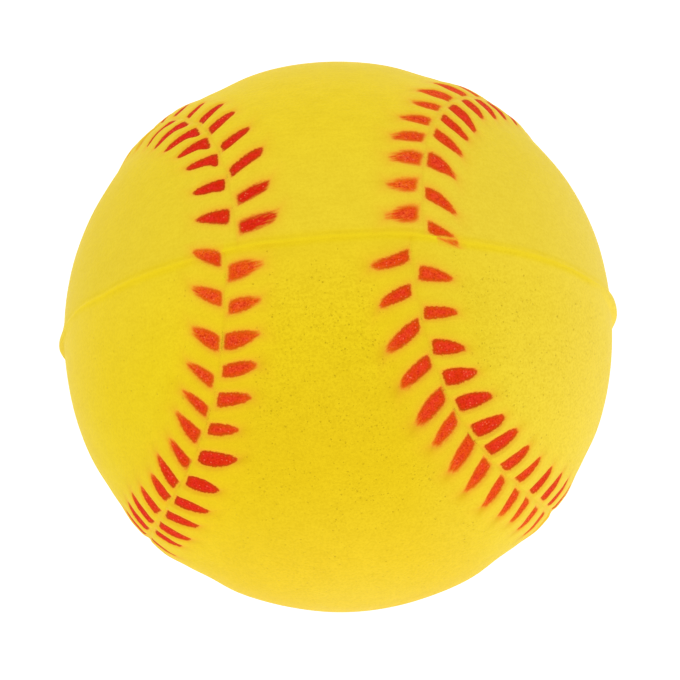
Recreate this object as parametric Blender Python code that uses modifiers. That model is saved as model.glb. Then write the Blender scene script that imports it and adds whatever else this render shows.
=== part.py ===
# Soft moulded training baseball: a foam core, a skin in two mould halves with a
# raised figure-of-eight seam, and the bead left at the mould's parting line.
#
# Frame: metres, origin at the ball's centre.
#   +Y  mould axis, normal to the parting plane y = 0
#   +Z  through the middle of one panel's narrow neck (the seam's four-fold axis)
#   +X  across that neck
import bpy
import bmesh
import cmath
import math
from mathutils import Matrix, Vector

MM = 0.001

# ---- driving dimensions -------------------------------------------------------
BALL_RADIUS = 36.5 * MM          # plain surface between the seams
SKIN_THICKNESS = 1.5 * MM
FIT_GAP = 0.3 * MM               # between neighbouring pieces
CORE_RADIUS = BALL_RADIUS - SKIN_THICKNESS - 1.3 * FIT_GAP

WELT_HEIGHT = 0.50 * MM          # raised seam, above the plain surface
WELT_CROWN = 2.6 * MM            # half width of its flat crown
WELT_FOOT = 6.0 * MM             # half width where it runs out

BEAD_WIDTH = 3.8 * MM            # parting bead, along the mould axis
BEAD_PROUD = 0.50 * MM           # its crown above the plain surface
HALF_TWIST = math.radians(-2.6)  # lower mould half turned against the upper one

# Seam: a closed curve on the unit sphere, from a short harmonic series.
SEAM_B = 0.551
SEAM_D = -0.055
SEAM_E = -0.015
SEAM_F = 0.030
SEAM_SAMPLES = 480

FACES_PER_SIDE = 20              # grid of the ball's surface, per cube side
BEAD_STEPS = 72
BEAD_CROWN_POINTS = 7


def seam_point(t):
    """Unit vector of the seam at parameter t (0 to 2 pi)."""
    w = (cmath.exp(1j * t) + SEAM_B * cmath.exp(-3j * t)
         + SEAM_D * cmath.exp(5j * t) + SEAM_E * cmath.exp(-7j * t))
    w *= cmath.exp(-0.25j * math.pi)
    z = 2.0 * math.sqrt(SEAM_B) * math.sin(2.0 * t) + SEAM_F * math.sin(6.0 * t)
    return Vector((w.real, w.imag, z)).normalized()


def seam_samples(twist):
    turn = Matrix.Rotation(twist, 3, 'Y')
    step = 2.0 * math.pi / SEAM_SAMPLES
    return [turn @ seam_point(i * step) for i in range(SEAM_SAMPLES)]


def welt(direction, samples):
    """Height of the raised seam at a unit direction."""
    nearest = max(direction.dot(p) for p in samples)
    away = math.acos(max(-1.0, min(1.0, nearest))) * BALL_RADIUS
    s = (away - WELT_CROWN) / (WELT_FOOT - WELT_CROWN)
    s = max(0.0, min(1.0, s))
    return WELT_HEIGHT * (1.0 - s * s * (3.0 - 2.0 * s))


def make_material(name, colour, roughness):
    mat = bpy.data.materials.new(name)
    mat.use_nodes = True
    bsdf = mat.node_tree.nodes["Principled BSDF"]
    bsdf.inputs["Base Color"].default_value = (*colour, 1.0)
    bsdf.inputs["Roughness"].default_value = roughness
    bsdf.inputs["Metallic"].default_value = 0.0
    mat.diffuse_color = (*colour, 1.0)
    return mat


def new_object(name, mesh, collection, material, parent):
    obj = bpy.data.objects.new(name, mesh)
    collection.objects.link(obj)
    mesh.materials.append(material)
    obj.parent = parent
    return obj


def skin_half(name, side, collection, material, parent):
    """One mould half: an open hemisphere with the seam raised on it, given a wall."""
    bm = bmesh.new()
    bmesh.ops.create_cube(bm, size=2.0)
    bmesh.ops.subdivide_edges(bm, edges=bm.edges[:], cuts=FACES_PER_SIDE - 1,
                              use_grid_fill=True)
    bmesh.ops.bisect_plane(bm, geom=bm.verts[:] + bm.edges[:] + bm.faces[:],
                           dist=1e-6, plane_co=(0.0, 0.0, 0.0),
                           plane_no=(0.0, -side, 0.0), clear_outer=True)
    samples = seam_samples(HALF_TWIST if side < 0 else 0.0)
    rim = math.asin((0.5 * BEAD_WIDTH + FIT_GAP) / BALL_RADIUS)
    for v in bm.verts:
        p = Vector([math.tan(c * 0.25 * math.pi) for c in v.co]).normalized()
        # the rim stands clear of the bead, and the rows above it are spread to suit
        lat = math.asin(max(-1.0, min(1.0, side * p.y)))
        lat = rim + lat * (1.0 - rim / (0.5 * math.pi))
        flat = Vector((p.x, 0.0, p.z))
        if flat.length > 1e-9:
            flat.normalize()
        p = flat * math.cos(lat) + Vector((0.0, side * math.sin(lat), 0.0))
        p.normalize()
        v.co = p * (BALL_RADIUS + welt(p, samples))
    bmesh.ops.recalc_face_normals(bm, faces=bm.faces[:])
    top = max(bm.faces, key=lambda f: side * f.calc_center_median().y)
    if top.normal.y * side < 0.0:
        bmesh.ops.reverse_faces(bm, faces=bm.faces[:])
    mesh = bpy.data.meshes.new(name)
    bm.to_mesh(mesh)
    bm.free()
    mesh.shade_smooth()
    obj = new_object(name, mesh, collection, material, parent)
    wall = obj.modifiers.new("wall", 'SOLIDIFY')
    wall.thickness = SKIN_THICKNESS
    wall.offset = -1.0
    wall.use_even_offset = True
    wall.use_rim = True
    return obj


def bead_ring(name, collection, material, parent):
    """Turned ring between the two skins, with a crowned outer face."""
    half = 0.5 * BEAD_WIDTH
    inner = BALL_RADIUS - SKIN_THICKNESS
    foot = BALL_RADIUS + 0.1 * BEAD_PROUD
    crown = BEAD_PROUD - 0.1 * BEAD_PROUD
    points = []
    for i in range(BEAD_CROWN_POINTS):
        s = 1.0 - 2.0 * i / (BEAD_CROWN_POINTS - 1)
        points.append((foot + crown * math.cos(0.5 * math.pi * s), half * s))
    slant = half * inner / BALL_RADIUS
    points.append((inner, -slant))
    points.append((inner, slant))
    bm = bmesh.new()
    ring = [bm.verts.new((r, 0.0, z)) for r, z in points]
    for a, b in zip(ring, ring[1:] + ring[:1]):
        bm.edges.new((a, b))
    mesh = bpy.data.meshes.new(name)
    bm.to_mesh(mesh)
    bm.free()
    obj = new_object(name, mesh, collection, material, parent)
    obj.rotation_euler = (math.radians(-90.0), 0.0, 0.0)   # turned axis along +Y
    turn = obj.modifiers.new("turn", 'SCREW')
    turn.axis = 'Z'
    turn.angle = 2.0 * math.pi
    turn.steps = BEAD_STEPS
    turn.render_steps = BEAD_STEPS
    turn.use_merge_vertices = True
    turn.merge_threshold = 0.00001
    turn.use_smooth_shade = True
    return obj


def core_ball(name, collection, material, parent):
    bm = bmesh.new()
    bmesh.ops.create_icosphere(bm, subdivisions=4, radius=CORE_RADIUS)
    mesh = bpy.data.meshes.new(name)
    bm.to_mesh(mesh)
    bm.free()
    mesh.shade_smooth()
    return new_object(name, mesh, collection, material, parent)


def main():
    for obj in list(bpy.data.objects):
        bpy.data.objects.remove(obj, do_unlink=True)
    scene = bpy.context.scene
    parts = bpy.data.collections.new("soft_training_baseball")
    scene.collection.children.link(parts)
    centre = bpy.data.objects.new("ball_centre", None)
    centre.empty_display_size = 0.02
    parts.objects.link(centre)

    skin = (0.83, 0.60, 0.022)
    core_ball("foam_core", parts,
              make_material("foam", (0.80, 0.62, 0.16), 0.95), centre)
    skin_half("upper_skin", 1.0, parts,
              make_material("upper_skin_yellow", skin, 0.55), centre)
    skin_half("lower_skin", -1.0, parts,
              make_material("lower_skin_yellow", skin, 0.55), centre)
    bead_ring("parting_bead", parts,
              make_material("bead_yellow", skin, 0.50), centre)


main()
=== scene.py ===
# Soft moulded training baseball: the fine surface, its finish and a plain studio.
#
# Everything is in the part's own frame: origin at the ball's centre, +Y the mould
# axis (the parting plane is y = 0), +Z through the neck of the panel in view.
# Lengths in this file are millimetres until a mesh is written in metres.
import math

import bpy
import numpy as np
from mathutils import Matrix


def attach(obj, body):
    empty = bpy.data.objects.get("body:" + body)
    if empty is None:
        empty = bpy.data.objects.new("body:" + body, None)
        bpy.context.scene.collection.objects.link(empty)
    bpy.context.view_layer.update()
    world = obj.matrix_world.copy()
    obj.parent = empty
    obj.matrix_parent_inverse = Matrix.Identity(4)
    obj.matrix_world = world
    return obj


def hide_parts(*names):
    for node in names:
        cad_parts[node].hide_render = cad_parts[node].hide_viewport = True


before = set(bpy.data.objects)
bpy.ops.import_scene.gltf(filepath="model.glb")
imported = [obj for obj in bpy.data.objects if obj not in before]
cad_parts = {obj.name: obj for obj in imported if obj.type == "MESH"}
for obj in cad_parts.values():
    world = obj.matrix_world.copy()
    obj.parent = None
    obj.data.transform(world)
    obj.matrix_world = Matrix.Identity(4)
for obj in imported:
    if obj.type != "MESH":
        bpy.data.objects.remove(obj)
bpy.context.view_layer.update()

MM = 0.001
R = 36.5                 # plain surface of the ball
WALL = 1.5               # skin
RIM = 1.9                # half width of the bead band between the two skins
GRID = 74                # skin grid, per cube side, before it is refined at the seam
INNER_GRID = 16

# ---------------------------------------------------------------------------------
# Seam line: a closed curve on the unit sphere from a short harmonic series. Distance
# s runs from the left neck up, over the back, down to the right neck and round below.
SEAM_B, SEAM_D, SEAM_E, SEAM_F = 0.5507, -0.0550, -0.0151, 0.0296
SEAM_N = 4200
# The lower mould half sits a little out of line with the upper one (degrees about X, Y, Z).
HALF_TURN = (-1.994, -2.634, -1.343)


def turn_matrix(degrees):
    v = np.radians(np.array(degrees))
    a = np.linalg.norm(v)
    k = v / a
    c = np.array([[0, -k[2], k[1]], [k[2], 0, -k[0]], [-k[1], k[0], 0]])
    return np.eye(3) + math.sin(a) * c + (1 - math.cos(a)) * c @ c


def make_seam():
    t = np.linspace(0, 2 * math.pi, SEAM_N + 1)[:-1]
    w = (np.exp(1j * t) + SEAM_B * np.exp(-3j * t) + SEAM_D * np.exp(5j * t)
         + SEAM_E * np.exp(-7j * t)) * np.exp(-0.25j * math.pi)
    z = 2 * math.sqrt(SEAM_B) * np.sin(2 * t) + SEAM_F * np.sin(6 * t)
    p = np.stack([w.real, w.imag, z], 1)
    p /= np.linalg.norm(p, axis=1)[:, None]
    left_neck = np.where((p[:, 2] > 0.5) & (p[:, 0] < 0))[0]
    p = np.roll(p, -left_neck[np.argmin(np.abs(p[left_neck, 1]))], axis=0)
    if p[5, 1] < 0:
        p = np.concatenate([p[:1], p[:0:-1]])
    step = np.linalg.norm(np.roll(p, -1, 0) - p, axis=1) * R
    s = np.concatenate([[0], np.cumsum(step)])
    # even spacing along the curve
    even = np.linspace(0, s[-1], SEAM_N + 1)[:-1]
    closed = np.concatenate([p, p[:1]])
    p = np.stack([np.interp(even, s, closed[:, i]) for i in range(3)], 1)
    p /= np.linalg.norm(p, axis=1)[:, None]
    tan = np.roll(p, -1, 0) - np.roll(p, 1, 0)
    tan /= np.linalg.norm(tan, axis=1)[:, None]
    return p, tan, np.cross(p, tan), even, s[-1]


SEAM_P, SEAM_T, SEAM_L, SEAM_S, SEAM_LENGTH = make_seam()
LOWER_TURN = turn_matrix(HALF_TURN)


def seam_place(p):
    """(s, t) of unit points: distance along the seam and signed distance from it."""
    s = np.empty(len(p))
    t = np.empty(len(p))
    coarse = SEAM_P[::10].astype(np.float32)
    near = np.arange(-12, 13)
    for a in range(0, len(p), 8000):
        q = p[a:a + 8000]
        j = np.argmax(q.astype(np.float32) @ coarse.T, axis=1) * 10
        window = (j[:, None] + near) % SEAM_N
        dots = np.einsum("nk,nwk->nw", q, SEAM_P[window])
        j = window[np.arange(len(q)), np.argmax(dots, axis=1)]
        s[a:a + 8000] = SEAM_S[j] + np.sum(q * SEAM_T[j], 1) * R
        t[a:a + 8000] = np.arcsin(np.clip(np.sum(q * SEAM_L[j], 1), -1, 1)) * R
    return s, t


# ---------------------------------------------------------------------------------
# Stitch dents, in four rows: upper or lower mould half, right (-) or left (+) of the
# seam's run. One line is one dent: its place s, its lean and bow along s from base to
# tip, where its paint starts and ends from the seam, and its width at base, middle and
# tip. A line with only s has the usual shape, with a little variation.
UPPER_RIGHT = [
    [(2.9, 0.8, -0.10, 0.5, 5.4, 1.7, 1.8, 1.4), (6.9, 1.1, -0.05, 0.7, 5.0, 1.5, 1.7, 1.4),
     (11.4, 1.8, 0.05, 0.5, 5.3, 1.6, 1.7, 1.5), (16.3, 1.3, -0.05, 0.5, 4.8, 1.5, 1.6, 1.1),
     (21.0, 1.2, -0.05, 0.3, 4.5, 1.8, 1.7, 1.1), (24.6, 1.3, 0.00, 0.4, 4.5, 1.7, 1.5, 1.0),
     (28.6, 1.0, -0.10, 0.3, 3.6, 1.2, 1.1, 0.8), (33.3,)],
    [(174.8,), (179.3, 1.6, 0.00, 0.3, 4.3, 2.1, 2.6, 1.1),
     (184.0, 1.9, -0.15, 0.3, 4.2, 2.1, 2.6, 1.3), (188.3, 1.3, 0.05, 0.3, 3.5, 1.8, 1.7, 1.0),
     (192.4, 1.1, -0.10, 0.4, 4.0, 1.8, 1.7, 1.0), (196.0, 1.2, -0.05, 0.5, 4.4, 1.6, 1.8, 1.2),
     (199.8, 0.8, -0.15, 0.3, 4.2, 2.1, 2.1, 1.2), (203.9, 0.5, 0.20, 0.7, 4.4, 1.8, 1.8, 1.0),
     (208.0, 0.6, 0.05, 0.6, 4.7, 1.9, 2.0, 0.8)],
]
UPPER_LEFT = [
    [(5.1, 1.4, -0.15, 0.6, 5.4, 2.0, 1.9, 1.0), (10.4, 1.0, -0.35, 0.4, 5.1, 1.2, 1.8, 1.2),
     (15.1, 1.7, -0.25, 0.4, 4.8, 1.6, 1.7, 1.3), (19.4, 1.7, -0.20, 0.5, 5.0, 1.8, 2.0, 1.3),
     (23.4, 2.5, -0.25, 0.6, 5.5, 1.7, 2.0, 1.4), (27.8, 2.2, -0.05, 0.5, 5.5, 1.6, 1.7, 1.1)],
    [(169.4,), (173.8, 1.1, 0.00, 0.5, 4.6, 1.8, 2.0, 1.4),
     (177.4, 1.4, -0.05, 0.6, 4.8, 1.8, 2.3, 1.5), (181.4, 1.4, -0.05, 0.5, 4.4, 1.9, 2.4, 1.5),
     (186.0, 2.1, -0.30, 0.5, 5.2, 2.2, 2.6, 1.8), (189.9, 1.7, 0.10, 0.6, 5.0, 1.9, 2.0, 1.5),
     (194.1, 1.9, -0.05, 0.6, 4.9, 1.9, 2.1, 1.4), (199.4, 1.6, -0.30, 0.4, 4.4, 2.5, 2.5, 1.2),
     (204.9, 2.3, -0.35, 0.4, 4.6, 1.8, 2.0, 1.3), (209.7, 1.8, -0.05, 0.6, 4.5, 1.7, 1.6, 1.3)],
]
LOWER_RIGHT = [
    [(214.5, 1.1, 0.25, 0.4, 5.3, 1.6, 1.5, 1.1), (218.9, 1.3, -0.10, 0.7, 5.0, 1.6, 1.6, 1.2),
     (223.2, 2.0, 0.05, 0.5, 5.4, 1.6, 1.9, 1.3), (227.9, 1.6, -0.05, 0.4, 5.1, 1.7, 1.9, 1.4),
     (232.5, 1.7, -0.10, 0.3, 5.1, 1.9, 2.2, 1.5), (236.0, 1.6, 0.00, 0.3, 4.7, 1.6, 1.8, 1.1),
     (240.1, 1.8, -0.05, 0.1, 5.0, 1.9, 2.1, 1.4), (244.5, 1.4, 0.00, 0.4, 5.1, 2.0, 1.9, 1.0),
     (248.8, 1.5, 0.00, 0.4, 4.9, 1.4, 1.8, 1.1), (253.0, 1.3, 0.00, 0.4, 4.5, 1.7, 1.7, 1.2),
     (256.6, 1.0, 0.00, 0.4, 4.1, 1.7, 1.5, 1.1), (260.6, 0.9, 0.00, 0.6, 4.4, 1.6, 1.6, 1.0),
     (264.7, 1.4, 0.00, 0.6, 4.6, 1.5, 1.4, 1.0)],
    [(368.1,), (373.3, 1.9, 0.00, 0.5, 4.4, 1.7, 1.7, 1.0),
     (376.5, 2.0, 0.00, 0.4, 4.8, 1.9, 2.0, 1.3), (380.4, 2.3, 0.15, 0.4, 4.8, 2.1, 1.9, 1.2),
     (384.5, 2.0, 0.10, 0.4, 4.9, 1.9, 1.9, 1.2), (389.2, 1.5, 0.15, 0.5, 4.8, 1.9, 2.2, 1.3),
     (393.9, 2.1, -0.15, 0.5, 5.3, 1.8, 2.3, 1.4), (398.1, 1.5, 0.05, 0.4, 4.3, 1.7, 1.6, 1.0),
     (402.2, 1.6, 0.00, 0.5, 4.8, 1.9, 1.7, 1.1), (405.9, 1.6, 0.00, 0.5, 4.9, 1.5, 1.8, 1.2),
     (409.6, 1.4, -0.15, 0.2, 4.8, 1.9, 2.0, 1.0), (413.8, 1.0, 0.00, 0.5, 4.7, 1.6, 1.7, 0.9),
     (418.1, 0.9, 0.00, 0.4, 4.9, 2.0, 2.1, 1.0)],
]
LOWER_LEFT = [
    [(216.9, 1.1, -0.15, 0.6, 5.1, 1.9, 1.9, 1.1), (222.0, 0.8, -0.05, 0.4, 4.9, 1.7, 1.6, 1.1),
     (226.5, 1.7, -0.15, 0.4, 4.6, 2.0, 2.1, 1.3), (230.8, 1.5, -0.10, 0.4, 4.9, 2.1, 2.3, 1.5),
     (234.9, 2.1, -0.25, 0.5, 5.2, 2.0, 2.4, 1.7), (239.4, 1.9, 0.05, 0.5, 5.0, 2.2, 2.5, 1.6),
     (243.3, 1.7, -0.05, 0.4, 5.2, 2.1, 2.2, 1.7), (247.5, 1.5, 0.10, 0.4, 4.9, 1.9, 2.0, 1.3),
     (251.5, 1.3, 0.10, 0.5, 4.8, 1.8, 1.6, 1.0), (256.2, 0.8, 0.10, 0.5, 4.9, 1.8, 1.8, 1.1),
     (260.2, 1.0, -0.10, 0.6, 5.1, 1.8, 1.9, 1.0), (264.0, 1.3, 0.00, 0.5, 4.9, 1.6, 1.5, 0.9)],
    [(371.4, 1.3, 0.00, 0.5, 4.8, 1.9, 2.2, 1.3), (375.2, 1.4, -0.05, 0.4, 5.0, 1.7, 1.9, 1.3),
     (379.2, 1.4, -0.10, 0.5, 4.4, 2.0, 2.1, 1.3), (383.6, 1.4, -0.05, 0.4, 4.0, 2.0, 2.1, 1.4),
     (387.1, 1.9, -0.05, 0.4, 4.6, 2.1, 2.1, 1.2), (391.5, 1.6, -0.10, 0.2, 3.9, 1.9, 1.8, 1.2),
     (396.2, 1.5, -0.20, 0.4, 4.4, 2.2, 2.1, 1.2), (400.1, 1.3, 0.05, 0.4, 4.4, 1.6, 1.6, 0.9),
     (404.3, 1.4, 0.00, 0.5, 4.5, 1.8, 1.7, 1.0), (409.2, 1.5, -0.05, 0.4, 4.4, 2.0, 2.2, 1.4),
     (414.9, 1.7, -0.10, 0.4, 4.7, 1.9, 1.9, 1.2), (420.1, 1.9, -0.05, 0.6, 4.7, 2.0, 1.9, 1.2)],
]
STITCH_PITCH = 4.43

# What changes slowly along a row, by s. base and tip: slant of the dent's two ends.
# taper: width at the very tip, against the width just before it. heel: how far the base
# reaches out on its low side. thin: paint from full red (0) to thin orange (1).
# soft: blur of the paint's edge. fade: paint running out at the tip. tip_hollow_shade:
# painted shade past the tip: darker yellow in the shallow hollow there. shallow: how much of
# the dent's depth is missing. narrow: how much of its width. longer: added to its length.
ROW_RULES = {
    "upper_right": {
        "base": ([0, 12, 20, 183, 190, 199, 208], [-0.05, -0.08, 0.05, -0.10, 0.0, 0.15, 0.08]),
        "tip": ([3, 7, 16, 19, 25, 183, 188, 200, 204], [0.40, 0.35, 0.3, 0.25, -0.1, -0.2, -0.4, -0.4, 0.05]),
        "taper": ([0, 30, 183, 199, 204, 208], [0.70, 0.60, 0.75, 0.80, 0.50, 0.70]),
        "thin": ([0, 6, 14, 36, 60, 150, 183, 196, 204, 208], [0.08, 0.04, 0.0, 0.0, 0.4, 0.5, 0.62, 0.60, 0.88, 0.78]),
        "soft": ([0, 3, 7, 12, 20, 26, 172, 183, 196, 200, 208], [0.55, 0.55, 0.40, 0.12, 0.10, 0.10, 0.12, 0.25, 0.45, 0.65, 0.65]),
        "fade": ([0, 30, 183, 196, 204, 208], [0.15, 0.15, 0.3, 0.5, 0.7, 0.7]),
        "tip_hollow_shade": ([0, 30, 183, 208], [0.15, 0.10, 0.25, 0.25]),
        "shallow": ([16, 25, 30, 38, 60, 150, 167, 177, 184, 198, 208], [0.0, 0.3, 0.75, 0.75, 0.0, 0.0, 0.8, 0.8, 0.5, 0.4, 0.2]),
        "narrow": ([30, 33, 36, 42], [0.0, 0.4, 0.4, 0.0]),
        "longer": ([30, 33, 36, 40], [0.0, -0.9, -0.5, 0.0]),
    },
    "upper_left": {
        "base": ([0, 30, 60, 208], [-0.20, -0.10, 0.0, 0.0]),
        "tip": ([5, 10, 15, 19, 24, 185, 200, 205, 207, 210], [0, 0.1, 0.35, 0.3, 0.1, -0.05, -0.1, -0.4, -0.2, 0.5]),
        "taper": ([5, 10, 15, 20, 24, 185, 210], [0.50, 0.40, 0.70, 0.65, 0.45, 0.75, 0.75]),
        "heel": ([5, 10, 15, 24, 45, 60], [0.2, 0.5, 0.8, 1.0, 0.5, 0.0]),
        "thin": ([0, 12, 34, 60, 150, 170, 188, 200, 210], [0.08, 0.02, 0.0, 0.3, 0.4, 0.22, 0.28, 0.36, 0.50]),
        "soft": ([0, 5, 10, 24, 170, 190, 199, 205, 210], [0.28, 0.26, 0.08, 0.08, 0.08, 0.18, 0.40, 0.18, 0.25]),
        "fade": ([0, 30, 183, 210], [0.15, 0.10, 0.3, 0.5]),
        "tip_hollow_shade": ([0, 30, 183, 210], [0.10, 0.10, 0.2, 0.2]),
        "shallow": ([16, 25, 30, 33, 35.5, 150, 165, 174, 182, 198, 210], [0.0, 0.3, 0.75, 0.75, 0.0, 0.0, 0.8, 0.8, 0.5, 0.3, 0.1]),
        "narrow": ([28, 32, 37, 45], [0.0, 0.5, 0.35, 0.0]),
        "longer": ([28, 32, 35, 40], [0.0, 0.8, 0.3, 0.0]),
    },
    "lower_right": {
        "base": ([214, 219, 228, 234, 242, 376, 402, 410, 418], [0, 0.08, 0.05, 0.18, 0.06, -0.1, -0.1, 0, 0.04]),
        "tip": ([214, 220, 228, 233, 247, 253, 376, 384, 391, 398, 404, 410, 414, 418],
                [0.24, 0.2, 0.08, -0.5, -0.5, -0.1, 0.25, 0.3, 0.15, -0.2, -0.5, -0.5, 0.1, -0.1]),
        "taper": ([214, 219, 225, 235, 243, 250, 378, 384, 391, 398, 404],
                  [0.55, 0.45, 0.35, 0.45, 0.55, 0.75, 0.85, 0.65, 0.40, 0.35, 0.50]),
        "thin": ([214, 219, 233, 236, 250, 258, 300, 340, 376, 382, 390, 395, 398, 404, 412, 420],
                 [0.55, 0.36, 0.38, 0.52, 0.50, 0.62, 0.5, 0.5, 0.16, 0.10, 0.06, 0.08, 0.34, 0.46, 0.70, 0.72]),
        "soft": ([214, 219, 233, 245, 258, 376, 386, 396, 405, 414, 420],
                 [0.22, 0.14, 0.32, 0.26, 0.16, 0.10, 0.04, 0.04, 0.12, 0.26, 0.50]),
        "fade": ([214, 225, 250, 376, 390, 400, 420], [0.5, 0.8, 0.6, 0.3, 0.2, 0.4, 0.9]),
        "tip_hollow_shade": ([214, 225, 236, 260, 376, 395, 402, 420], [0.3, 0.8, 1.0, 0.6, 0.4, 0.7, 0.4, 0.2]),
        "shallow": ([248, 256, 261, 266, 268, 340, 362, 374, 380, 390], [0.0, 0.3, 0.75, 0.75, 0.0, 0.0, 0.75, 0.7, 0.3, 0.0]),
        "narrow": ([355, 362, 368, 371, 373], [0.0, 0.3, 0.45, 0.2, 0.0]),
    },
    "lower_left": {
        "base": ([217, 224, 228, 235, 375, 385, 390, 404], [-0.2, -0.2, -0.1, -0.05, -0.14, -0.14, -0.05, 0]),
        "tip": ([217, 222, 230, 375, 381, 388, 396, 400, 405], [-0.4, 0.1, 0, 0.2, -0.05, -0.2, -0.4, -0.2, 0.03]),
        "taper": ([217, 230, 242, 248, 264, 375, 385, 390, 405, 415, 420], [0.55, 0.60, 0.55, 0.30, 0.30, 0.45, 0.42, 0.42, 0.70, 0.45, 0.55]),
        "thin": ([216, 226, 232, 240, 248, 262, 300, 340, 366, 374, 388, 400, 410, 416, 421],
                 [0.56, 0.32, 0.14, 0.22, 0.36, 0.32, 0.5, 0.5, 0.06, 0.12, 0.20, 0.46, 0.74, 0.62, 0.32]),
        "soft": ([216, 222, 235, 243, 250, 262, 376, 386, 392, 397, 412, 421],
                 [0.22, 0.08, 0.16, 0.14, 0.10, 0.12, 0.08, 0.12, 0.34, 0.30, 0.30, 0.40]),
        "fade": ([216, 240, 376, 388, 400, 420], [0.3, 0.3, 0.7, 1.0, 0.9, 0.6]),
        "tip_hollow_shade": ([216, 240, 260, 376, 400, 420], [0.3, 0.4, 0.3, 0.4, 0.3, 0.2]),
        "shallow": ([248, 256, 261, 270, 290, 340, 362, 374, 380, 390], [0.0, 0.3, 0.75, 0.75, 0.0, 0.0, 0.75, 0.7, 0.3, 0.0]),
    },
}


def make_row(name, groups, seed):
    """A row's dents in order of s, with the stretch between the two groups filled in."""
    rng = np.random.default_rng(seed)
    first, second = groups
    gap = second[0][0] - first[-1][0]
    count = max(2, round(gap / STITCH_PITCH))
    fill = [(first[-1][0] + gap * k / count + rng.uniform(-0.3, 0.3),) for k in range(1, count)]
    lines = []
    for line in first + fill + second:
        if len(line) == 1:
            line = (line[0], 1.2 + rng.uniform(-0.35, 0.35), rng.uniform(-0.15, 0.15),
                    0.45 + rng.uniform(-0.12, 0.12), 4.6 + rng.uniform(-0.35, 0.35),
                    1.8 + rng.uniform(-0.25, 0.25), 1.95 + rng.uniform(-0.25, 0.25),
                    1.25 + rng.uniform(-0.25, 0.25))
        lines.append(line)
    table = np.array(lines)
    row = {k: table[:, i] for i, k in enumerate(("s", "lean", "bow", "t0", "t1", "w0", "w1", "w2"))}
    for rule in ("base", "tip", "taper", "heel", "thin", "soft", "fade", "tip_hollow_shade", "shallow", "narrow", "longer"):
        row[rule] = np.interp(row["s"], *ROW_RULES[name].get(rule, ([0, 1], [0.0, 0.0])))
    for k in ("w0", "w1", "w2"):
        row[k] = row[k] * (1 - row["narrow"])
    row["t1"] = row["t1"] + row["longer"]
    row["thin"] = np.clip(row["thin"] + rng.uniform(-0.06, 0.06, len(table)), 0, 1)
    row["tip_hollow_shade"] = row["tip_hollow_shade"] * rng.uniform(0.6, 1.2, len(table))
    row["deep"] = (1 - row["shallow"]) * rng.uniform(0.85, 1.15, len(table))
    return row


ROWS = {
    (1, -1): make_row("upper_right", UPPER_RIGHT, 11),
    (1, 1): make_row("upper_left", UPPER_LEFT, 12),
    (-1, -1): make_row("lower_right", LOWER_RIGHT, 13),
    (-1, 1): make_row("lower_left", LOWER_LEFT, 14),
}


def smooth(a, b, x):
    x = np.clip((x - a) / (b - a), 0, 1)
    return x * x * (3 - 2 * x)


def soft_max(a, b, r):
    """Larger of two distances, with the corner rounded by r."""
    h = np.maximum(r - np.abs(a - b), 0) / r
    return np.maximum(a, b) + h * h * r * 0.25


def stitch_field(row, s, a):
    """For points at s and distance a from the seam: signed distance to the nearest dent's
    outline, that dent's number, how far along and across it the point is, and the painted
    shade past tips, which also marks a shallow hollow there."""
    middle = row["s"] + 0.5 * row["lean"]
    at = np.searchsorted(middle, s)
    edge = np.full(len(s), 9.0)
    along = np.zeros(len(s))
    across = np.zeros(len(s))
    tip_hollow_shade = np.zeros(len(s))
    which = np.zeros(len(s), int)
    for k in (-2, -1, 0, 1):
        j = np.clip(at + k, 0, len(middle) - 1)
        t0, t1 = row["t0"][j], row["t1"][j]
        w0, w1, w2 = row["w0"][j], row["w1"][j], row["w2"][j]
        v = np.clip((a - t0) / (t1 - t0), -0.3, 1.4)
        x = s - row["s"][j] - row["lean"][j] * v - row["bow"][j] * 4 * v * (1 - v)
        u = np.clip(v, 0, 0.85)
        w = (w0 * (u - 0.5) * (u - 0.85) / 0.425 - w1 * u * (u - 0.85) / 0.175
             + w2 * u * (u - 0.5) / 0.2975)
        end = w2 * (1 + (row["taper"][j] - 1) * np.clip((v - 0.85) / 0.15, 0, 1.2))
        w = 0.5 * np.where(v > 0.85, end, w)
        w = w + np.where(x < 0, row["heel"][j] * (1 - smooth(0.10, 0.42, v)), 0)
        slope = np.sqrt(1 + (row["lean"][j] / (t1 - t0)) ** 2)
        base, tip = row["base"][j], row["tip"][j]
        d = soft_max((np.abs(x) - w) / slope,
                     np.maximum((t0 + base * x - a) / np.sqrt(1 + base * base),
                                (a - t1 - tip * x) / np.sqrt(1 + tip * tip)), 0.40)
        better = d < edge
        which = np.where(better, j, which)
        along = np.where(better, v, along)
        across = np.where(better, x, across)
        edge = np.minimum(edge, d)
        # painted shade past the tip, which also sinks the relief a little there
        tip_hollow_shade = np.maximum(tip_hollow_shade, row["tip_hollow_shade"][j] * np.exp(-(x / 0.66) ** 2
                           - np.where(a < t1 + 0.35, ((a - t1 - 0.35) / 0.7) ** 2, ((a - t1 - 0.35) / 1.2) ** 2)))
    return edge, which, along, across, tip_hollow_shade


# ---------------------------------------------------------------------------------
def parting_line(phi):
    """Latitude distance of the parting line from y = 0 at azimuth phi (0 at +Z)."""
    side = np.abs(np.sin(phi))
    return (0.08 + 1.25 * smooth(0.87, 0.985, side)
            + 0.05 * np.sin(3 * phi + 0.5) + 0.04 * np.sin(7 * phi + 1.9))


def lip_line(phi):
    """The same for the lip that the halves left there, a little above on the left."""
    s = np.sin(phi)
    side = np.abs(s)
    ends = np.where(s > 0, 0.95 * smooth(0.89, 1.0, side), 0.75 * smooth(0.80, 0.94, side))
    return (0.08 + ends + 0.65 * smooth(0.55, 0.10, s)
            + 0.05 * np.sin(3 * phi + 0.5) + 0.04 * np.sin(7 * phi + 1.9))


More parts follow.
